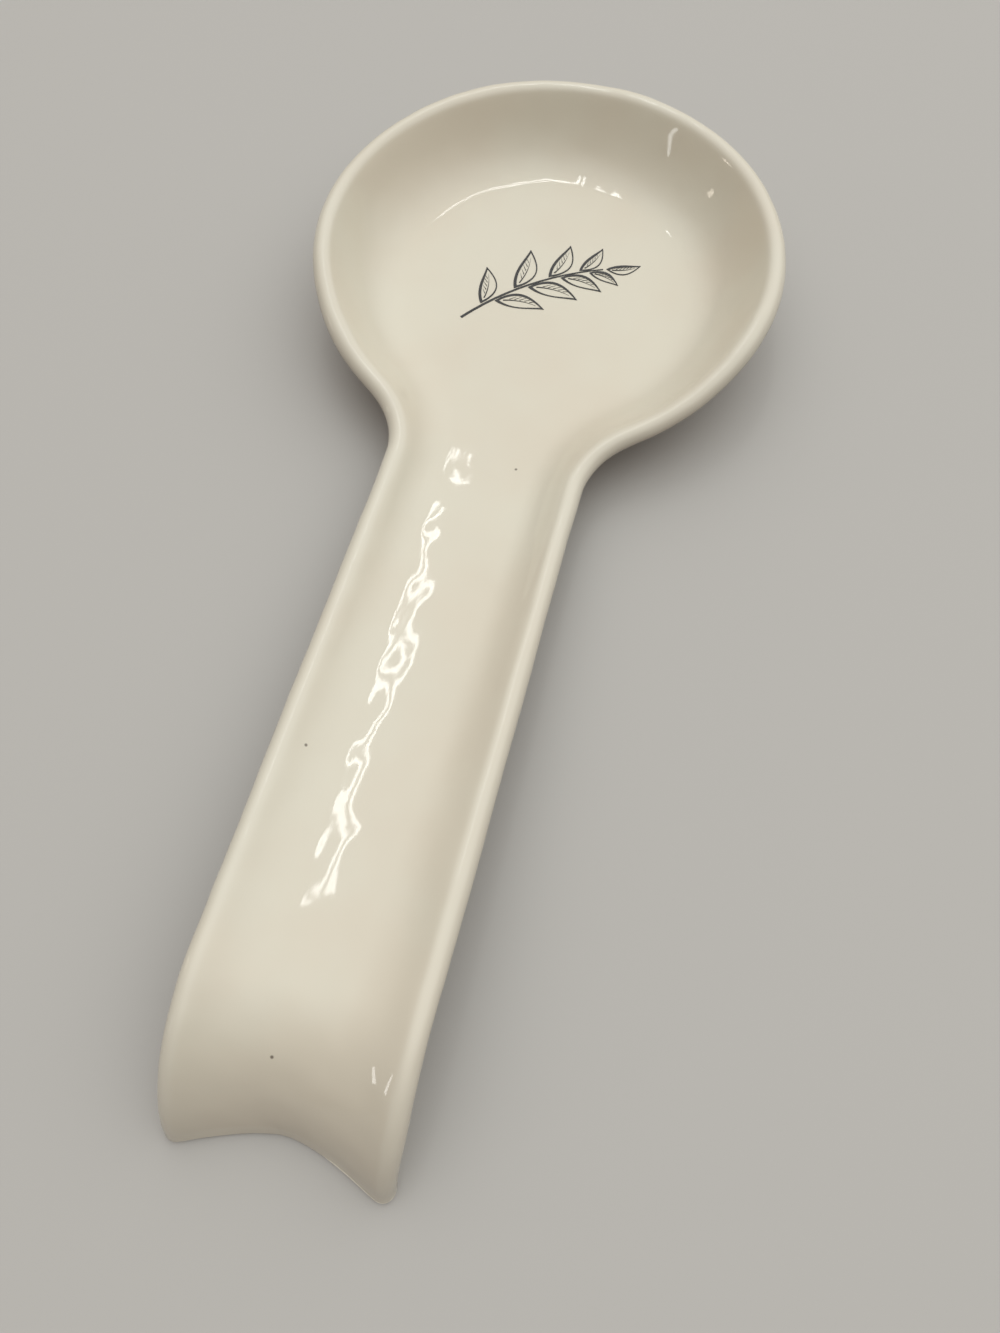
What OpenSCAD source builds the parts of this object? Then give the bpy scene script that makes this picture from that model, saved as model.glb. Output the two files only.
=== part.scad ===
// Glazed stoneware spoon rest: a round bowl, a trough handle and an end that rolls down to the table.
// The shell is one loft. Sections square to the rim line run round the bowl, through the neck fillets
// and down both sides of the handle, and the rolled end turns every long line about one level axis.
// Heights are measured from the table. Plan positions are measured from the bowl centre, and the whole
// part is then set so that its origin lies under the middle of its length.

/* [Bowl] */
// Diameter of the bowl over its rim
bowl_d = 114.3; // [95:0.1:140]
// Depth of the bowl, from its flat floor up to the rim line
bowl_depth = 14.4; // [10:0.1:24]
// Width in plan of the curved wall between the flat floor and the rim line
bowl_wall_run = 18; // [14:0.1:22]
// How late the bowl's wall turns up from its floor, from nearly straight to a late, steep turn
bowl_wall_curve = 2.6; // [1.8:0.05:3]

/* [Wall] */
// Thickness of the finished wall, glaze included
wall_t = 5.3; // [4:0.1:7]
// Thickness of the glaze
glaze_t = 0.5; // [0.3:0.05:0.8]

/* [Neck] */
// Radius in plan of the fillet between the bowl and the handle, along the rim line
neck_r = 23.4; // [14:0.1:34]
// Clear width between the rim lines where the fillets end
neck_clear_w = 36.3; // [28:0.1:46]
// Width of the level strip along the trough floor where the fillets end
neck_floor_w = 19; // [8:0.1:22]
// How late the trough's walls turn up where the fillets end
neck_wall_curve = 2.1; // [1.4:0.05:2.6]
// Depth of the trough where the fillets end
neck_depth = 5.2; // [4:0.1:10]
// Rise of the trough floor from the bowl floor to the end of the fillets
neck_rise = 1.4; // [0.3:0.1:5]

/* [Handle] */
// Length in plan of the straight handle, from the fillets to the rolled end
handle_len = 112.3; // [80:0.5:150]
// Clear width between the rim lines at the rolled end
end_clear_w = 37.1; // [28:0.1:46]
// Width of the level strip along the trough floor at the rolled end
end_floor_w = 11; // [4:0.1:18]
// How late the trough's walls turn up at the rolled end
end_wall_curve = 2; // [1.4:0.05:2.6]
// Depth of the trough at the rolled end
end_depth = 4.3; // [3:0.1:9]
// Dish of the trough floor between its walls
floor_dish = 0.3; // [0.1:0.05:0.8]
// Rise of the trough floor along the straight handle
handle_rise = 10.8; // [5:0.1:16]

/* [Rolled end] */
// Radius of the bend along the trough floor
bend_r = 25.3; // [19:0.1:34]
// Width of the level strip along the trough floor where the end stands on the table
lip_floor_w = 2.4; // [1:0.1:8]
// How late the trough's walls turn up there
lip_wall_curve = 1.4; // [1.3:0.05:2.6]
// Depth of the trough there
lip_depth = 5.8; // [3:0.1:9]
// Height of the bare clay edge that stands on the table
dry_h = 0.8; // [0.4:0.1:2]

/* [Foot ring] */
// Clear height under the glazed bowl floor
foot_h = 1.7; // [1:0.1:4]
// Width of the foot ring
foot_w = 4; // [2.5:0.1:7]
// Step in from the turn of the wall to the foot ring
foot_set_in = 1; // [0.5:0.1:4]
// Bevel on both lower edges of the foot ring
foot_edge = 0.5; // [0.2:0.1:0.9]

/* [Print] */
// Bare floor left round the printed sprig
print_margin = 10.5; // [6:0.5:16]
// Thickness of the fired print
print_t = 0.1; // [0.05:0.01:0.2]
// Weight of the main pen lines
pen_w = 0.7; // [0.4:0.05:1]
// Weight of the fine hatching lines
hatch_w = 0.34; // [0.2:0.02:0.5]

/* [Hidden] */

// Steps of the loft: round the bowl, through a fillet, along the handle, round the bend, up a wall,
// over the rim and across the trough floor
arc_steps = 48;
neck_steps = 6;
handle_steps = 4;
bend_steps = 8;
wall_steps = 6;
rim_steps = 6;
floor_steps = 6;

// Where the rim line starts to dip, as a share of the way from the bowl centre to the fillet
dip_start_share = 0.2;

// Heights of the floor line and the rim line
bowl_floor_h = foot_h + wall_t;
neck_floor_h = bowl_floor_h + neck_rise;
end_floor_h = neck_floor_h + handle_rise;
bowl_rim_h = bowl_floor_h + bowl_depth;
neck_rim_h = neck_floor_h + neck_depth;
end_rim_h = end_floor_h + end_depth;

// Plan of the rim line: a circle, two fillets tangent to it, and the handle's edges
bowl_lean = lean(1, bowl_depth, bowl_wall_run, bowl_wall_curve);
rim_r = bowl_d / 2 - (1 + sin(bowl_lean)) * wall_t / 2;
floor_r = rim_r - bowl_wall_run;
neck_half = neck_clear_w / 2;
end_half = end_clear_w / 2;
fillet_x = neck_half + neck_r;
fillet_turn = acos(fillet_x / (rim_r + neck_r));
fillet_y = -(rim_r + neck_r) * sin(fillet_turn);
dip_y = -dip_start_share * rim_r * sin(fillet_turn);

// Axis that the rolled end turns about, square below the end of the rising floor
rise_angle = atan(handle_rise / handle_len);
axis_y = fillet_y - handle_len - bend_r * sin(rise_angle);
axis_z = end_floor_h - bend_r * cos(rise_angle);

// Furthest reach of the tips, and the bowl centre's place along the part
lip_lean = lean(1, lip_depth, end_half - lip_floor_w / 2, lip_wall_curve);
tip_r = bend_r + lip_depth + (1 - cos(lip_lean)) * wall_t / 2;
tip_y = axis_y - sqrt(pow(tip_r, 2) - pow(dry_h - axis_z, 2));
bowl_y = -(bowl_d / 2 + tip_y) / 2;

// Foot ring radii
foot_r = floor_r - foot_set_in;
well_r = foot_r - foot_w;

// Counts of the loft's points
rows = neck_steps + handle_steps + bend_steps + 1;
glazed_rows = rows - 1;
last = 2 * wall_steps + rim_steps;
loop_steps = arc_steps + floor_steps;

function lerp(a, b, t) = a + (b - a) * t;

// Cubic from a to b that starts level and ends with the slope m
function ease(a, b, m, t) = lerp(a, b, t * t * (3 - 2 * t)) + m * t * t * (t - 1);

// Lean of a wall from level at the share s of its run
function lean(s, depth, run, curve) = atan(curve * depth * pow(s, curve - 1) / run);

// Unit vector square to a wall, as [outward, up]
function square_to(angle) = [-sin(angle), cos(angle)];

// Height of the rim line over the bowl and the fillets
function rim_line(y) =
    let (
        length = dip_y - fillet_y,
        slope = (end_rim_h - neck_rim_h) / handle_len
    )
    ease(bowl_rim_h, neck_rim_h, slope * length, max(dip_y - y, 0) / length);

// Height of the floor line through the neck
function neck_floor(y) =
    let (length = -floor_r - fillet_y)
    ease(bowl_floor_h, neck_floor_h, length * tan(rise_angle), (-floor_r - y) / length);

// Half section square to the rim line, as [distance out, height]: along the inside from the floor,
// over the rounded rim and back along the outside, set in from the finished surface
function section(run, floor_h, depth, curve, inset) =
    let (
        wall = [for (j = [0:wall_steps])
            let (s = j / wall_steps)
            [[-run * (1 - s), floor_h + depth * pow(s, curve)], square_to(lean(s, depth, run, curve))]],
        rim_lean = lean(1, depth, run, curve),
        rim_centre = wall[wall_steps][0] - wall[wall_steps][1] * wall_t / 2
    )
    concat(
        [for (p = wall) p[0] - inset * p[1]],
        [for (k = [1:rim_steps - 1])
            rim_centre + (wall_t / 2 - inset) * square_to(rim_lean - 180 * k / rim_steps)],
        [for (j = [wall_steps:-1:0]) wall[j][0] - (wall_t - inset) * wall[j][1]]
    );

// Stations on the rim line, as [place, way in, wall run, floor height, depth, sag of the floor row,
// wall curve, dish of the floor]
function bowl_station(angle) =
    let (out = [cos(angle), sin(angle)])
    [
        rim_r * out,
        -out,
        bowl_wall_run,
        bowl_floor_h,
        rim_line(rim_r * out.y) - bowl_floor_h,
        0,
        bowl_wall_curve,
        0
    ];

function neck_station(t) =
    let (
        turn = fillet_turn * (1 - t),
        way_in = [-cos(turn), sin(turn)],
        place = [fillet_x, fillet_y] + neck_r * way_in,
        run = lerp(bowl_wall_run, neck_half - neck_floor_w / 2, t),
        sag = floor_r * (1 - sin(fillet_turn)) * (1 - t),
        floor_h = neck_floor(place.y + run * way_in.y - sag)
    )
    [
        place,
        way_in,
        run,
        floor_h,
        rim_line(place.y) - floor_h,
        sag,
        lerp(bowl_wall_curve, neck_wall_curve, t),
        floor_dish * t
    ];

// A value that changes along the handle, and then round the rolled end to the table
function along(neck, end, lip, t, roll) = lerp(lerp(neck, end, t), lip, roll * roll);

function handle_station(t, roll) =
    let (half = lerp(neck_half, end_half, t))
    [
        [half, fillet_y - handle_len * t],
        [-1, 0],
        half - along(neck_floor_w, end_floor_w, lip_floor_w, t, roll) / 2,
        lerp(neck_floor_h, end_floor_h, t),
        along(neck_depth, end_depth, lip_depth, t, roll),
        0,
        along(neck_wall_curve, end_wall_curve, lip_wall_curve, t, roll),
        along(floor_dish, floor_dish, 0, t, roll)
    ];

// Row 0 is where the fillet meets the bowl, and the last row stands on the table
function station(row) =
    row <= neck_steps
        ? neck_station(row / neck_steps)
        : handle_station(
            min((row - neck_steps) / handle_steps, 1),
            min(max(bend_step(row) / bend_steps, 0), 1)
        );

function bend_step(row) = row - neck_steps - handle_steps;

// A point of the end section turned about the bend's axis. Each long line stops at its own angle, so
// the edge of the glaze and the end of the clay are level cuts.
function rolled(x, h, step) =
    let (
        r = bend_r + h - end_floor_h,
        stop_h = step > bend_steps ? 0 : dry_h,
        stop = acos((stop_h - axis_z) / r),
        turn = lerp(-rise_angle, stop, min(step / bend_steps, 1))
    )
    [x, axis_y - r * sin(turn), axis_z + r * cos(turn)];

function placed(x, y, h, row) = bend_step(row) < 0 ? [x, y, h] : rolled(x, h, bend_step(row));

function side_points(row, side, inset) =
    let (s = station(row))
    [for (p = section(s[2], s[3], s[4], s[6], inset))
        placed(side * (s[0].x - s[1].x * p.x), s[0].y - s[1].y * p.x, p.y, row)];

function bowl_points(step, inset) =
    let (s = bowl_station(loop_angle(step)))
    [for (p = section(s[2], s[3], s[4], s[6], inset)) concat(s[0] - s[1] * p.x, p.y)];

// Points between the two sides of a row, from right to left, at a depth below the finished floor
function floor_points(row, below) =
    let (
        s = station(row),
        edge = s[0] + s[1] * s[2]
    )
    [for (c = [1:floor_steps - 1])
        let (
            u = 1 - 2 * c / floor_steps,
            angle = u * (90 - fillet_turn) - 90,
            x = row == 0 ? floor_r * cos(angle) : edge.x * u,
            y = row == 0 ? floor_r * sin(angle) : edge.y - s[5] * (1 - u * u)
        )
        placed(x, y, s[3] - s[7] * (1 - u * u) - below, row)];

// Directions round the flat floor: the bowl's stations, then back across the neck
function loop_angle(step) =
    step <= arc_steps
        ? lerp(-fillet_turn, 180 + fillet_turn, step / arc_steps)
        : lerp(180 + fillet_turn, 360 - fillet_turn, (step - arc_steps) / floor_steps);

function ring(r, h) =
    [for (k = [0:loop_steps - 1]) [r * cos(loop_angle(k)), r * sin(loop_angle(k)), h]];

// All points of a skin that follows the whole shell, open at the foot ring and at the handle's end
function skin_points(n, inset) =
    concat(
        [for (row = [n:-1:1]) each side_points(row, 1, inset)],
        [for (step = [0:arc_steps]) each bowl_points(step, inset)],
        [for (row = [1:n]) each side_points(row, -1, inset)],
        [for (row = [0:n]) each floor_points(row, inset)],
        [for (row = [0:n]) each floor_points(row, wall_t - inset)],
        ring(foot_r, foot_h + inset),
        [[0, 0, bowl_floor_h - inset]]
    );

// Places in that list of a skin with n rows
function wall_i(station, j) = station * (last + 1) + j;
function floors_start(n) = (2 * n + arc_steps + 1) * (last + 1);
function row_i(n, row, c, under) =
    let (j = under ? last : 0)
    c == 0 ? wall_i(n - row, j)
    : c == floor_steps ? wall_i(n + arc_steps + row, j)
    : floors_start(n) + (row + (under ? n + 1 : 0)) * (floor_steps - 1) + c - 1;
function loop_i(n, k, under) =
    k <= arc_steps ? wall_i(n + k, under ? last : 0) : row_i(n, 0, loop_steps - k, under);
function ring_start(n) = floors_start(n) + 2 * (n + 1) * (floor_steps - 1);
function skin_size(n) = ring_start(n) + loop_steps + 1;

// Two triangles for four corners. The mirrored cut keeps both halves of the part alike.
function quad(a, b, c, d, mirrored = false) =
    mirrored ? [[a, b, d], [b, c, d]] : [[a, b, c], [a, c, d]];

function band(outer, inner) =
    [for (k = [0:loop_steps - 1])
        let (next = (k + 1) % loop_steps)
        each quad(outer[k], outer[next], inner[next], inner[k])];

function skin_faces(n) =
    let (
        stations = 2 * n + arc_steps,
        centre = skin_size(n) - 1,
        top_loop = [for (k = [0:loop_steps - 1]) loop_i(n, k, false)],
        under_loop = [for (k = [0:loop_steps - 1]) loop_i(n, k, true)],
        foot_loop = [for (k = [0:loop_steps - 1]) ring_start(n) + k]
    )
    concat(
        [for (i = [0:stations - 1], j = [0:last - 1])
            each quad(wall_i(i, j), wall_i(i + 1, j), wall_i(i + 1, j + 1), wall_i(i, j + 1),
                i >= stations / 2)],
        [for (row = [0:n - 1], c = [0:floor_steps - 1])
            each quad(row_i(n, row, c, false), row_i(n, row + 1, c, false),
                row_i(n, row + 1, c + 1, false), row_i(n, row, c + 1, false), c >= floor_steps / 2)],
        [for (row = [0:n - 1], c = [0:floor_steps - 1])
            each quad(row_i(n, row, c, true), row_i(n, row, c + 1, true),
                row_i(n, row + 1, c + 1, true), row_i(n, row + 1, c, true), c >= floor_steps / 2)],
        [for (k = [0:loop_steps - 1]) [centre, top_loop[(k + 1) % loop_steps], top_loop[k]]],
        band(under_loop, foot_loop)
    );

function flipped(faces) = [for (f = faces) [f[2], f[1], f[0]]];

function shifted(faces, by) = [for (f = faces) [for (i = f) i + by]];

// Level end of the clay on the table, from its upper line to its under line
function end_faces(n) =
    let (far = 2 * n + arc_steps)
    concat(
        [for (j = [0:last / 2 - 1], station = [0, far])
            let (q = quad(wall_i(station, j), wall_i(station, j + 1),
                wall_i(station, last - j - 1), wall_i(station, last - j), station == far))
            each station == far ? flipped(q) : q],
        [for (c = [0:floor_steps - 1])
            each quad(row_i(n, n, c + 1, false), row_i(n, n, c, false),
                row_i(n, n, c, true), row_i(n, n, c + 1, true))]
    );

// Edge of the glaze above the bare end, from the outer skin to the inner skin
function edge_faces(n, by) =
    let (far = 2 * n + arc_steps)
    concat(
        [for (j = [0:last - 1], station = [0, far])
            let (q = quad(wall_i(station, j), wall_i(station, j + 1),
                wall_i(station, j + 1) + by, wall_i(station, j) + by, station == far))
            each station == far ? flipped(q) : q],
        [for (c = [0:floor_steps - 1], under = [false, true])
            let (q = quad(row_i(n, n, c + 1, under), row_i(n, n, c, under),
                row_i(n, n, c, under) + by, row_i(n, n, c + 1, under) + by))
            each under ? flipped(q) : q]
    );

// Fired stoneware, bare on the foot ring and along the end edge
module clay_body() {
    foot = [
        [foot_r, foot_h],
        [foot_r - foot_edge, 0],
        [well_r + foot_edge, 0],
        [well_r, foot_h],
        [well_r, foot_h + glaze_t]
    ];
    first = skin_size(rows);
    loops = concat(
        [[for (k = [0:loop_steps - 1]) ring_start(rows) + k]],
        [for (m = [0:len(foot) - 1]) [for (k = [0:loop_steps - 1]) first + m * loop_steps + k]]
    );
    centre = first + len(foot) * loop_steps;
    inner = loops[len(foot)];
    color("tan")
        translate([0, bowl_y, 0])
            polyhedron(
                concat(
                    skin_points(rows, glaze_t),
                    [for (f = foot) each ring(f[0], f[1])],
                    [[0, 0, foot_h + glaze_t]]
                ),
                concat(
                    skin_faces(rows),
                    end_faces(rows),
                    [for (m = [0:len(foot) - 1]) each band(loops[m], loops[m + 1])],
                    [for (k = [0:loop_steps - 1]) [inner[k], inner[(k + 1) % loop_steps], centre]]
                )
            );
}

// Glaze over the whole shell, open at the foot ring and above the end edge
module glaze_coat() {
    size = skin_size(glazed_rows);
    foot_loop = [for (k = [0:loop_steps - 1]) ring_start(glazed_rows) + k];
    faces = skin_faces(glazed_rows);
    color("ivory")
        translate([0, bowl_y, 0])
            polyhedron(
                concat(skin_points(glazed_rows, 0), skin_points(glazed_rows, glaze_t)),
                concat(
                    faces,
                    shifted(flipped(faces), size),
                    edge_faces(glazed_rows, size),
                    band(foot_loop, [for (i = foot_loop) i + size])
                )
            );
}

// Glaze on the underside inside the foot ring
module foot_well_glaze() {
    color("ivory")
        translate([0, bowl_y, foot_h])
            linear_extrude(glaze_t)
                polygon([for (p = ring(well_r, 0)) [p.x, p.y]]);
}

// Sprig drawn on the bowl floor. Leaf rows are [share along the stem, side, share of the sprig's
// length, angle from the stem].
sprig_len = 2 * (floor_r - print_margin);
sprig_turn = 34;
stem_sag_share = 0.09;
stem_tip_share = 0.5;
leaf_shares = [
    [0.12, 1, 0.26, 48], [0.19, -1, 0.27, 46],
    [0.32, 1, 0.29, 44], [0.39, -1, 0.28, 44],
    [0.52, 1, 0.26, 42], [0.58, -1, 0.24, 42],
    [0.69, 1, 0.21, 38], [0.74, -1, 0.18, 42],
    [0.83, 0, 0.19, 0]
];
leaf_w_share = 0.37;
leaf_curl_share = 0.1;
leaf_fullness = 0.85;
leaf_gap = 0.5;
leaf_steps = 12;
stem_steps = 12;
rib_steps = 6;
inside_shares = [0.08, 0.93];
rib_shares = [0.16, 0.82];
hatch_shares = [0.28, 0.38, 0.48, 0.58, 0.68];
hatch_lean_share = 0.12;
hatch_reach_share = 0.62;

// Stem line at the share t of the sprig's length, and its direction
function stem_at(t) = sprig_len * [t - 1 / 2, stem_sag_share * (4 * t * (1 - t) - 1 / 2)];
function stem_angle(t) = atan(4 * stem_sag_share * (1 - 2 * t));

// A place on a leaf: the share t along it and the distance v across it
function on_leaf(leaf, t, v) =
    let (
        angle = stem_angle(leaf[0]) + leaf[1] * leaf[3],
        length = leaf[2] * sprig_len,
        side = leaf[1] == 0 ? 1 : leaf[1],
        along = [cos(angle), sin(angle)],
        across = [-sin(angle), cos(angle)],
        curl = side * leaf_curl_share * length * 4 * t * (1 - t)
    )
    stem_at(leaf[0]) + (pen_w / 2 + leaf_gap + length * t) * along + (v - curl) * across;

function leaf_half(leaf, t) =
    leaf_w_share * leaf[2] * sprig_len / 2 * sin(180 * pow(t, leaf_fullness));

// Closed lens between two shares of a leaf, drawn in by a line weight on each side
function lens(leaf, shares, weights) =
    let (
        widest = leaf_half(leaf, 1 / 2),
        sides = [for (w = weights) 1 - w / widest]
    )
    concat(
        [for (k = [0:leaf_steps])
            let (t = k / leaf_steps)
            on_leaf(leaf, lerp(shares[0], shares[1], t), leaf_half(leaf, t) * sides[0])],
        [for (k = [leaf_steps - 1:-1:1])
            let (t = k / leaf_steps)
            on_leaf(leaf, lerp(shares[0], shares[1], t), -leaf_half(leaf, t) * sides[1])]
    );

module leaf_outline(leaf) {
    outer = lens(leaf, [0, 1], [0, 0]);
    inner = lens(leaf, inside_shares, [pen_w, hatch_w]);
    polygon(
        concat(outer, inner),
        [[for (k = [0:len(outer) - 1]) k], [for (k = [0:len(inner) - 1]) len(outer) + k]]
    );
}

// Middle rib of a leaf, thinning to a point
module leaf_rib(leaf) {
    edge = [for (k = [0:rib_steps])
        let (t = k / rib_steps)
        [lerp(rib_shares[0], rib_shares[1], t), hatch_w / 2 * (1 - t)]];
    polygon(concat(
        [for (p = edge) on_leaf(leaf, p[0], p[1])],
        [for (k = [rib_steps - 1:-1:0]) on_leaf(leaf, edge[k][0], -edge[k][1])]
    ));
}

module leaf_hatch(leaf, t) {
    half = hatch_w / (2 * leaf[2] * sprig_len);
    polygon([
        on_leaf(leaf, t - half, hatch_w),
        on_leaf(leaf, t + half, hatch_w),
        on_leaf(leaf, t + hatch_lean_share, hatch_reach_share * leaf_half(leaf, t))
    ]);
}

module stem() {
    edge = [for (k = [0:stem_steps])
        let (
            t = k / stem_steps,
            place = t * leaf_shares[len(leaf_shares) - 1][0],
            angle = stem_angle(place)
        )
        [stem_at(place), pen_w / 2 * lerp(1, stem_tip_share, t) * [-sin(angle), cos(angle)]]];
    polygon(concat(
        [for (p = edge) p[0] + p[1]],
        [for (k = [stem_steps:-1:0]) edge[k][0] - edge[k][1]]
    ));
}

// Fired line print of a leafy sprig, standing on the glazed bowl floor
module sprig_print() {
    color("darkslategray")
        translate([0, bowl_y, bowl_floor_h])
            rotate([0, 0, sprig_turn])
                linear_extrude(print_t) {
                    stem();
                    for (leaf = leaf_shares) {
                        leaf_outline(leaf);
                        leaf_rib(leaf);
                        for (t = hatch_shares) leaf_hatch(leaf, t);
                    }
                }
}

clay_body();
glaze_coat();
foot_well_glaze();
sprig_print();
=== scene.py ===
# %% [markdown]
# # A glazed stoneware spoon rest
# The real object is one piece of fired clay under a thick, glossy cream glaze, with a line print fired
# onto the floor of its bowl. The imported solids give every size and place. This script gives the
# surfaces: a glaze that ripples and thins at the rims, bare clay where the piece stood in the kiln,
# and ink that sits on the glaze.

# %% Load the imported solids
import math

import bmesh
import bpy
from mathutils import Matrix, Vector, noise


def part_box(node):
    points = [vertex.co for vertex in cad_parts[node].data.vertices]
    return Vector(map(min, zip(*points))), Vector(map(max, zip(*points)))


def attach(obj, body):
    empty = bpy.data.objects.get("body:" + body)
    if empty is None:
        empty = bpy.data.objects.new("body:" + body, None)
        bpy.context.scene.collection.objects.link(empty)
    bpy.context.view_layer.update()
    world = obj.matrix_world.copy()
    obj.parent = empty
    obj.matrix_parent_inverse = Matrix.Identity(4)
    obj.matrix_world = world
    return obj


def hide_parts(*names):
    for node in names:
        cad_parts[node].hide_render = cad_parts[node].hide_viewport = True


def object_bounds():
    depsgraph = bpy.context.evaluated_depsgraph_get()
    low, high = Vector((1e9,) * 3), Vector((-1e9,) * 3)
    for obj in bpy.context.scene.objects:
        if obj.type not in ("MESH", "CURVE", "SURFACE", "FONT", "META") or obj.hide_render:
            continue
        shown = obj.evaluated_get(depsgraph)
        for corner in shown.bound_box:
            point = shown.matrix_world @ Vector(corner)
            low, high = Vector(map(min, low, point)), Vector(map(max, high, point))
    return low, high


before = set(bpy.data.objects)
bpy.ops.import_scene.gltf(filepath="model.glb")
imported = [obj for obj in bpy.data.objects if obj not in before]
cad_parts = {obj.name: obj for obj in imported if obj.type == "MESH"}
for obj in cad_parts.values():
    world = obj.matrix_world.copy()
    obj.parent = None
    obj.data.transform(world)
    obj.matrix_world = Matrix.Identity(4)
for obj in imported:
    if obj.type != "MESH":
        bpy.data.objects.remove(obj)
solid_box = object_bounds()
scene = bpy.context.scene
MM = 0.001
print("solids", sorted(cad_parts), "box", [round(x / MM, 1) for x in solid_box[1] - solid_box[0]])

# %% [markdown]
# ## Camera
# The outline of the photograph fixes where its camera stood: a phone held close above the handle,
# looking down along the part at a steep angle. A constraint could aim the camera, but nothing here
# moves, so a matrix from three angles and a distance is plainer. The lens follows from a focal length
# in pixels of the 1000 by 1333 frame, because Blender's sensor width belongs to the longer side of the
# picture. The camera stands close, so its near clipping comes down too.

# %% Place the camera
PHOTO_HEIGHT = 1333
FOCAL_PIXELS = 1000
SENSOR = 36.0
NEAREST_SEEN = 10 * MM
AZIMUTH = math.radians(16.08)
ELEVATION = math.radians(66.27)
ROLL = math.radians(-1.68)
TARGET = Vector((14.22, -26.45, 0.0)) * MM
DISTANCE = 219.47 * MM


def direction(azimuth, elevation):
    """Unit vector from the part towards a viewer at these angles."""
    level = math.cos(elevation)
    return Vector((math.sin(azimuth) * level, -math.cos(azimuth) * level, math.sin(elevation)))


def facing(back, roll):
    """Turn that points an object's -Z away from the direction `back`."""
    turn = (-back).to_track_quat("-Z", "Y").to_matrix()
    return (turn @ Matrix.Rotation(roll, 3, "Z")).to_4x4()


camera_data = bpy.data.cameras.new("photo_camera")
camera_data.sensor_width = SENSOR
camera_data.lens = SENSOR * FOCAL_PIXELS / PHOTO_HEIGHT
camera_data.clip_start = NEAREST_SEEN
camera = bpy.data.objects.new("photo_camera", camera_data)
camera_back = direction(AZIMUTH, ELEVATION)
camera.matrix_world = Matrix.Translation(TARGET + camera_back * DISTANCE) @ facing(camera_back, ROLL)
scene.collection.objects.link(camera)
scene.camera = camera
print("camera at", [round(x / MM, 1) for x in camera.matrix_world.translation], "lens", camera_data.lens)

# %% [markdown]
# ## Shader sums
# A material is easier to read as sums than as a picture of boxes and wires. `Value` wraps an output
# socket, so `1 - mask` or `grain * 0.2` adds the Math nodes it needs, and `Nodes.node` adds any other
# node from its type, its settings and its inputs. The sky and the materials both use it.

# %% Helper for shader nodes
class Value:
    """The output of a shader node, usable in Python sums."""

    def __init__(self, nodes, socket):
        self.nodes = nodes
        self.socket = socket

    def math(self, operation, *others):
        """A Math node with this value as its first input."""
        return self.nodes.node("Math", {"operation": operation}, dict(enumerate((self, *others))))

    def __add__(self, other):
        return self.math("ADD", other)

    __radd__ = __add__

    def __mul__(self, other):
        return self.math("MULTIPLY", other)

    __rmul__ = __mul__

    def __sub__(self, other):
        return self.math("SUBTRACT", other)

    def __rsub__(self, other):
        return self.nodes.node("Math", {"operation": "SUBTRACT"}, {0: other, 1: self})

    def ramp(self, low, high):
        """0 below low, 1 above high, and a smooth step between."""
        inputs = {"Value": self, "From Min": low, "From Max": high}
        return self.nodes.node("MapRange", {"interpolation_type": "SMOOTHSTEP"}, inputs)


class Nodes:
    """A node tree that nodes are added to by type."""

    def __init__(self, tree):
        self.tree = tree

    def node(self, kind, settings=None, inputs=None, output=0):
        """Add a node, set it, feed it and return one of its outputs."""
        made = self.tree.nodes.new("ShaderNode" + kind)
        for setting, value in (settings or {}).items():
            setattr(made, setting, value)
        for socket, value in (inputs or {}).items():
            self.feed(made.inputs[socket], value)
        return Value(self, made.outputs[output])

    def mix(self, factor, a, b):
        """Colour a where factor is 0, b where it is 1."""
        return self.node("Mix", {"data_type": "RGBA"}, {0: factor, 6: a, 7: b}, output=2)

    def feed(self, socket, value):
        """Link a Value to a socket, or set the socket to a constant."""
        if isinstance(value, Value):
            self.tree.links.new(value.socket, socket)
        elif hasattr(value, "__len__") and len(value) == 3 and socket.type == "RGBA":
            socket.default_value = (*value, 1.0)
        else:
            socket.default_value = value


# %% [markdown]
# ## Lamps
# The photograph was lit by a lamp of two long tubes overhead, behind the bowl. Their reflection runs
# down the handle as broken streaks, along the far side of the bowl's floor as an arc, and along the
# rims as thin lines. A small window low on the left puts two short streaks on the rolled-down end, and
# a warm bulb puts a spot on the bowl's right wall. A glossy surface shows the shape of each lamp, so
# area lamps are the right kind: a point lamp would leave only dots. Each is given by the two ends of
# its strip, because that is what a reflection tells about it.

# %% Lamps
scene.view_settings.view_transform = "Standard"
LAMP_WHITE = (1.0, 1.0, 0.98)
LAMP_WARM = (1.0, 0.88, 0.74)


def lamp(name, start, end, width, power, colour=LAMP_WHITE):
    """A strip lamp between two points in metres, facing the part."""
    data = bpy.data.lights.new(name, "AREA")
    data.shape = "RECTANGLE"
    start, end = Vector(start), Vector(end)
    data.size, data.size_y = width, (end - start).length
    data.energy = power
    data.color = colour
    middle, along = (start + end) / 2, (end - start).normalized()
    back = (middle - along * middle.dot(along)).normalized()
    turn = Matrix((along.cross(back), along, back)).transposed().to_4x4()
    item = bpy.data.objects.new(name, data)
    item.matrix_world = Matrix.Translation(middle) @ turn
    scene.collection.objects.link(item)
    return item


lamps = [
    lamp("left_tube", start=(-0.291, 0.515, 1.7), end=(-0.261, 1.433, 1.7), width=0.028, power=0.75),
    lamp("right_tube", start=(-0.231, 0.515, 1.7), end=(-0.201, 1.433, 1.7), width=0.028, power=0.75),
    lamp("window", start=(-0.98, -0.78, 0.3), end=(-1.04, -0.68, 0.52), width=0.04, power=0.16),
    lamp(
        "warm_bulb", start=(-1.35, -0.12, 0.36), end=(-1.35, -0.12, 0.5), width=0.12, power=0.3,
        colour=LAMP_WARM,
    ),
]
print("lamps", [item.name for item in lamps])

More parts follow.
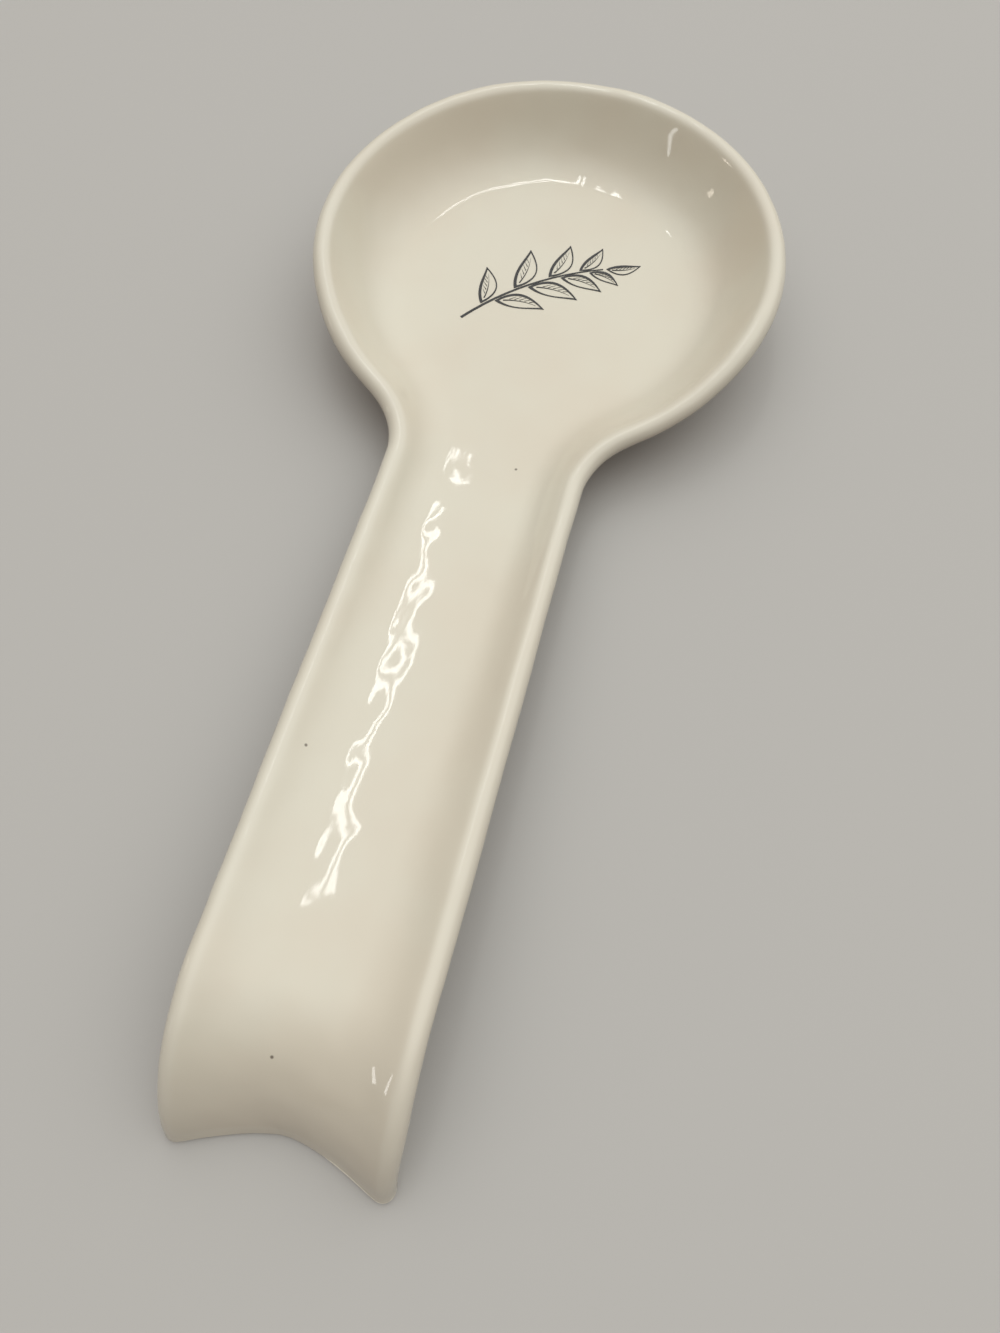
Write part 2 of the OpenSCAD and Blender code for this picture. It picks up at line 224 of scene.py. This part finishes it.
# %% [markdown]
# ## Sky
# Most of the other light comes from above, so the walls of the bowl and the trough are darker than
# their floors, and a little warmer, because the light from the sides is. A large soft lamp could do
# this, but the glaze would mirror its edges. A sky that fades from a bright part overhead to dim, warm
# sides has no edges to mirror. The camera itself sees a plain pale backdrop.

# %% Sky
SKY_ABOVE_COLOUR = (0.985, 1.0, 0.975)
SKY_ROUND_COLOUR = (1.0, 0.87, 0.79)
SKY_ABOVE = 1.47
SKY_ROUND = 0.24
SKY_BRIGHTEST = Vector((0.14, 0.34, 0.93)).normalized()
SKY_DIM_COSINE = 0.3
BACKDROP = 0.75
BACKDROP_COLOUR = (1.0, 0.99, 0.975)

world = bpy.data.worlds.new("studio")
world.use_nodes = True
background = world.node_tree.nodes["Background"]
sky = Nodes(world.node_tree)
outwards = sky.node("TexCoord", output="Generated")
towards_brightest = {0: outwards, 1: SKY_BRIGHTEST}
nearness = sky.node("VectorMath", {"operation": "DOT_PRODUCT"}, towards_brightest, output="Value")
seen = sky.node("LightPath", output="Is Camera Ray")
above = nearness.ramp(SKY_DIM_COSINE, 1.0)
glow = above * (SKY_ABOVE - SKY_ROUND) + SKY_ROUND
tint = sky.mix(above, SKY_ROUND_COLOUR, SKY_ABOVE_COLOUR)
sky.feed(background.inputs["Color"], sky.mix(seen, tint, BACKDROP_COLOUR))
sky.feed(background.inputs["Strength"], glow * (1 - seen) + seen * BACKDROP)
scene.world = world
print("world", world.name, "with", len(world.node_tree.nodes), "nodes")


# %% [markdown]
# ## Materials
# Every material here is one Principled shader, most with noise behind their colour, roughness or bump.
# `Finish` holds the few groups of nodes that they share. All of them read Object coordinates, so a
# pattern is given in real sizes and stays on its piece.

# %% Helper for materials
class Finish(Nodes):
    """A material built round one Principled shader."""

    def __init__(self, name, **constants):
        self.material = bpy.data.materials.new(name)
        self.material.use_nodes = True
        super().__init__(self.material.node_tree)
        self.shader = self.tree.nodes["Principled BSDF"]
        self.set(**constants)
        self.place = self.node("TexCoord", output="Object")

    def noise(self, size, detail):
        """Noise from 0 to 1 whose lumps are about `size` metres across."""
        return self.node("TexNoise", None, {"Vector": self.place, "Scale": 1 / size, "Detail": detail})

    def distance(self, point):
        """Distance from one point of the part."""
        inputs = {0: self.place, 1: point}
        return self.node("VectorMath", {"operation": "DISTANCE"}, inputs, output="Value")

    def scatter(self, cell, radius, feather):
        """1 inside scattered round dots, one at most for each cell of that size."""
        inputs = {"Vector": self.place, "Scale": 1 / cell}
        distance = self.node("TexVoronoi", None, inputs, output="Distance") * cell
        return 1 - distance.ramp(radius, radius + feather)

    def bump(self, height, depth):
        """Normal of a surface that rises by `depth` metres where height goes from 0 to 1."""
        return self.node("Bump", None, {"Height": height, "Distance": depth}, output="Normal")

    def set(self, **sockets):
        """Feed the shader's sockets, named with _ for a space."""
        for socket, value in sockets.items():
            self.feed(self.shader.inputs[socket.replace("_", " ")], value)


def srgb(red, green, blue):
    """Linear colour of an 8-bit display colour."""
    def linear(byte):
        share = byte / 255
        return share / 12.92 if share <= 0.04045 else ((share + 0.055) / 1.055) ** 2.4
    return tuple(linear(byte) for byte in (red, green, blue))


# %% [markdown]
# ## The glaze's form
# The glaze is the surface that everyone sees: a skin about half a millimetre thick that was molten in
# the kiln, so it has no facets and hardly an edge. The solid has the right form in few faces. Smooth
# shading alone would hide the facets but not their bent reflections, so a copy of the solid is merged,
# its triangles are joined into squares, and a subdivision surface rounds it. Edges that turn sharply
# are creased first, which keeps the glaze's end above the bare clay crisp.

# %% Rounded copy of the glaze
MERGE = 0.001 * MM
CREASE_ANGLE = math.radians(55)
FLAT_ENOUGH = math.radians(40)
SQUARE_ENOUGH = math.radians(89)


def joined_cage(node):
    """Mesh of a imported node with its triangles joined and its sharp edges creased."""
    made = bmesh.new()
    made.from_mesh(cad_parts[node].data)
    bmesh.ops.remove_doubles(made, verts=made.verts, dist=MERGE)
    bmesh.ops.join_triangles(
        made, faces=made.faces,
        angle_face_threshold=FLAT_ENOUGH, angle_shape_threshold=SQUARE_ENOUGH,
    )
    crease = made.edges.layers.float.new("crease_edge")
    for edge in made.edges:
        if edge.calc_face_angle(0.0) > CREASE_ANGLE:
            edge[crease] = 1.0
    print(node, "triangles left", sum(len(f.verts) == 3 for f in made.faces), "of", len(made.faces))
    cage = bpy.data.meshes.new(node + "_cage")
    made.to_mesh(cage)
    made.free()
    return cage


def rounded(cage, levels):
    """Mesh of the subdivision surface round a cage."""
    holder = bpy.data.objects.new(cage.name, cage)
    scene.collection.objects.link(holder)
    subdivision = holder.modifiers.new("round", "SUBSURF")
    subdivision.levels = subdivision.render_levels = levels
    depsgraph = bpy.context.evaluated_depsgraph_get()
    mesh = bpy.data.meshes.new_from_object(holder.evaluated_get(depsgraph))
    bpy.data.objects.remove(holder)
    return mesh


glaze_mesh = rounded(joined_cage("glaze_coat"), levels=2)
print("glaze faces", len(glaze_mesh.polygons))

# %% [markdown]
# ## Ripple and pool
# Molten glaze flows. It pools in hollows and sets with a faint ripple, which breaks a lamp's reflection
# into streaks: a reflection shows even a hundredth of a millimetre. A bump in the material could bend
# the reflection too, but the mesh itself would stay smooth. So the ripple is a height that is pushed
# into the mesh: three sizes of noise, each shifted to a stretch that breaks the streaks on the handle
# much as the photograph does. It fades out round the print, which lies on a level floor.

# %% Height of the ripple
RIPPLES = (
    # size, depth, shift of the noise
    (28 * MM, 0.26 * MM, (-8.6, -4.9, -7.6)),
    (14 * MM, 0.16 * MM, (-1.2, -3.5, 4.2)),
    (5 * MM, 0.077 * MM, (-6.6, -7.5, 8.7)),
)
DEEPEST_RIPPLE = 0.22 * MM
CALM_RADIUS = 32 * MM
RIPPLE_RADIUS = 50 * MM
CALM_TOWARDS_NECK = 10 * MM
POOL_HEIGHT = 0.3 * MM
POOL_START, POOL_CREST, POOL_END = 14 * MM, 36 * MM, 130 * MM
POOL_FLAT, POOL_SIDE = 8 * MM, 22 * MM
well_low, well_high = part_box("foot_well_glaze")
CALM_CENTRE = (well_low + well_high) / 2 - Vector((0, CALM_TOWARDS_NECK, 0))


def smooth_step(low, high, value):
    """0 below low, 1 above high, and a smooth step between."""
    share = min(max((value - low) / (high - low), 0.0), 1.0)
    return share * share * (3 - 2 * share)


def pool(place):
    """Height of the glaze that pooled along the middle of the neck and the trough."""
    along = CALM_CENTRE.y - place.y
    lengthwise = smooth_step(POOL_START, POOL_CREST, along) * (1 - smooth_step(POOL_CREST, POOL_END, along))
    return POOL_HEIGHT * lengthwise * (1 - smooth_step(POOL_FLAT, POOL_SIDE, abs(place.x)))


def ripple(place):
    """Height of the set glaze above its smooth form."""
    waves = sum(depth * noise.noise(place / size + Vector(shift)) for size, depth, shift in RIPPLES)
    away = (place - CALM_CENTRE).xy.length
    return max(waves, -DEEPEST_RIPPLE) * smooth_step(CALM_RADIUS, RIPPLE_RADIUS, away) + pool(place)


crest = CALM_CENTRE - Vector((0, POOL_CREST, 0))
print("calm round", [round(x / MM, 1) for x in CALM_CENTRE], "pool at its crest", round(pool(crest) / MM, 2))

# %% [markdown]
# ## Thin rims
# Over a rim the glaze is thinner, so its gloss changes there, and its colour is painted paler: partly
# for the thinner glaze, partly a painted sheen where the rims catch the light. A mask painted by hand
# would have to be redone with each new size. The bend of the surface gives the same mask: each vertex
# keeps the sharpest convex bend of its edges, evened out with its neighbours, as an attribute that the
# material reads. Long edges are then split, so that the mesh is fine enough for the ripple. Last, the
# few edges that are still sharp are marked, because smooth shading would smear light across them.

# %% Thin rims, then the ripple in the mesh
EVENING_PASSES = 4
SPLITTING_PASSES = 3
LONGEST_EDGE = 2.4 * MM
SHARP_ANGLE = math.radians(45)


def sharpness(edge):
    """Curvature across an edge, above zero where the surface is convex."""
    reach = sum(face.calc_area() for face in edge.link_faces) / 2 / edge.calc_length()
    return edge.calc_face_angle_signed(0.0) / reach


shell = bmesh.new()
shell.from_mesh(glaze_mesh)
rim_bend = shell.verts.layers.float.new("thin_glaze_and_sheen")
for vert in shell.verts:
    vert[rim_bend] = max(sharpness(edge) for edge in vert.link_edges) * MM
for turn in range(EVENING_PASSES):
    around = [[edge.other_vert(vert)[rim_bend] for edge in vert.link_edges] for vert in shell.verts]
    for vert, values in zip(shell.verts, around):
        vert[rim_bend] = (vert[rim_bend] + sum(values)) / (1 + len(values))
for turn in range(SPLITTING_PASSES):
    long_edges = [edge for edge in shell.edges if edge.calc_length() > LONGEST_EDGE]
    bmesh.ops.subdivide_edges(shell, edges=long_edges, cuts=1, use_grid_fill=True)
shell.normal_update()
for vert in shell.verts:
    vert.co += vert.normal * ripple(vert.co)
shell.to_mesh(glaze_mesh)
shell.free()
glaze_mesh.shade_smooth()
glaze_mesh.set_sharp_from_angle(angle=SHARP_ANGLE)
glaze = bpy.data.objects.new("glaze", glaze_mesh)
scene.collection.objects.link(glaze)
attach(glaze, "root")
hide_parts("glaze_coat")
print("glaze triangles", sum(len(face.vertices) - 2 for face in glaze_mesh.polygons))

# %% [markdown]
# ## The glaze's finish
# The fired glaze is a glossy cream, slightly cloudy, with a few dark specks of iron that melted through
# from the clay. Where the glaze is thinner over the rims it is less polished, and the rims are painted
# paler: partly for the thinner glaze, partly a painted sheen where they catch the light. The specks could
# be scattered by noise, but the photograph shows three, so each has its place, lifted onto the rippled
# surface. A very fine bump gives the skin of the glaze a slight orange peel.

# %% Glaze finish
CREAM = srgb(226, 222, 206)
WARM_CREAM = srgb(224, 217, 200)
# Paler cream of the rims: partly the thinner glaze, partly a painted sheen where they catch the light.
THIN_GLAZE_AND_SHEEN_CREAM = srgb(231, 228, 214)
IRON = srgb(84, 70, 58)
CLOUD_SIZE = 38 * MM
CLOUD_RANGE = (0.35, 0.7)
SMUDGE_SIZE = 26 * MM
PEEL_SIZE = 4.2 * MM
PEEL_DEPTH = 0.015 * MM
RIM_BEND_RANGE = (0.1, 0.35)
THIN_GLAZE_AND_SHEEN_SHARE = 0.35
POLISH, SMUDGE_ROUGHNESS, RIM_ROUGHNESS = 0.02, 0.05, 0.08
SPECKS = ((6.3, 19.1, 7.8), (-15.8, -59.4, 18.1), (-3.5, -114.3, 16.0))
SPECK_RADIUS = 0.3 * MM
SPECK_STRENGTH = 0.8


def glaze_finish():
    finish = Finish("cream_glaze", IOR=1.52)
    cloud = finish.noise(CLOUD_SIZE, detail=3.0).ramp(*CLOUD_RANGE)
    colour = finish.mix(cloud, CREAM, WARM_CREAM)
    bend = finish.node("Attribute", {"attribute_name": "thin_glaze_and_sheen"}, output="Fac")
    rim = bend.ramp(*RIM_BEND_RANGE)
    # Painted sheen: the rims are made paler, partly for the thinner glaze, partly for the light they catch.
    colour = finish.mix(rim * THIN_GLAZE_AND_SHEEN_SHARE, colour, THIN_GLAZE_AND_SHEEN_CREAM)
    for point in SPECKS:
        place = Vector(point) * MM
        away = finish.distance(place + Vector((0, 0, ripple(place))))
        speck = 1 - away.ramp(0.5 * SPECK_RADIUS, 1.5 * SPECK_RADIUS)
        colour = finish.mix(speck * SPECK_STRENGTH, colour, IRON)
    smudge = finish.noise(SMUDGE_SIZE, detail=4.0)
    peel = finish.noise(PEEL_SIZE, detail=1.0)
    finish.set(
        Base_Color=colour,
        Roughness=smudge * SMUDGE_ROUGHNESS + rim * RIM_ROUGHNESS + POLISH,
        Normal=finish.bump(peel, PEEL_DEPTH),
    )
    return finish.material


cream_glaze = glaze_finish()
glaze.data.materials.clear()
glaze.data.materials.append(cream_glaze)
print("glaze painted", cream_glaze.name)

# %% [markdown]
# ## Bare clay and ink
# Ware can't stand on molten glaze, so the foot ring and the edge of the end are left bare: matt, sandy
# stoneware with flecks of iron. The print is a charcoal ink that was fired onto the glaze, a little
# uneven and less glossy than its ground. These solids have their final form already, so they keep
# their own meshes and only get a material. The glaze inside the foot ring shares the cream glaze.

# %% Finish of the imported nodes
LIGHT_CLAY = srgb(205, 188, 162)
DARK_CLAY = srgb(176, 155, 128)
GRAIN_SIZE = 1.1 * MM
GRAIN_DEPTH = 0.1 * MM
FLECK_SPACING = 3 * MM
FLECK_RADIUS = FLECK_FEATHER = 0.2 * MM
FLECK_STRENGTH = 0.7
INK = srgb(24, 24, 26)
WORN_INK = srgb(44, 43, 44)
WEAR_SIZE = 2.4 * MM
WEAR_RANGE = (0.35, 0.75)


def repaint(node, material):
    """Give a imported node's faces one material."""
    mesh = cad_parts[node].data
    mesh.materials.clear()
    mesh.materials.append(material)
    print(node, "painted", material.name)


def clay_finish():
    finish = Finish("bare_stoneware", Roughness=0.85)
    grain = finish.noise(GRAIN_SIZE, detail=5.0)
    flecks = finish.scatter(FLECK_SPACING, FLECK_RADIUS, FLECK_FEATHER)
    colour = finish.mix(grain, LIGHT_CLAY, DARK_CLAY)
    colour = finish.mix(flecks * FLECK_STRENGTH, colour, IRON)
    finish.set(Base_Color=colour, Normal=finish.bump(grain, GRAIN_DEPTH))
    return finish.material


def print_finish():
    finish = Finish("charcoal_print", Roughness=0.22)
    wear = finish.noise(WEAR_SIZE, detail=4.0).ramp(*WEAR_RANGE)
    finish.set(Base_Color=finish.mix(wear, INK, WORN_INK))
    return finish.material


repaint("clay_body", clay_finish())
repaint("foot_well_glaze", cream_glaze)
repaint("sprig_print", print_finish())

# %% [markdown]
# ## Floor
# A plain floor takes the shadow and bounces a little light up under the bowl and the handle. A pale
# one would bounce so much that the shaded sides go flat. So it is pale only where it is seen, straight
# or mirrored, and darker for the light that it hands on. It lies a hair below the part, because two
# faces in one plane would flicker.

# %% Floor
FLOOR_SIZE = 12.0
FLOOR_GAP = 0.02 * MM
FLOOR_SEEN = srgb(190, 189, 186)
FLOOR_BOUNCE = srgb(104, 94, 84)


def floor_finish():
    finish = Finish("pale_floor", Roughness=0.6)
    seen = finish.node("LightPath", output="Is Camera Ray")
    for kind in ("Is Glossy Ray", "Is Transmission Ray"):
        seen = seen.math("MAXIMUM", finish.node("LightPath", output=kind))
    finish.set(Base_Color=finish.mix(seen, FLOOR_BOUNCE, FLOOR_SEEN))
    return finish.material


plane = bmesh.new()
bmesh.ops.create_grid(plane, x_segments=1, y_segments=1, size=FLOOR_SIZE)
floor_mesh = bpy.data.meshes.new("floor")
plane.to_mesh(floor_mesh)
plane.free()
floor = bpy.data.objects.new("floor", floor_mesh)
floor_mesh.transform(Matrix.Translation((0, 0, solid_box[0].z - FLOOR_GAP)))
floor_mesh.materials.append(floor_finish())
scene.collection.objects.link(floor)
print("floor at", round((solid_box[0].z - FLOOR_GAP) / MM, 2), "mm")
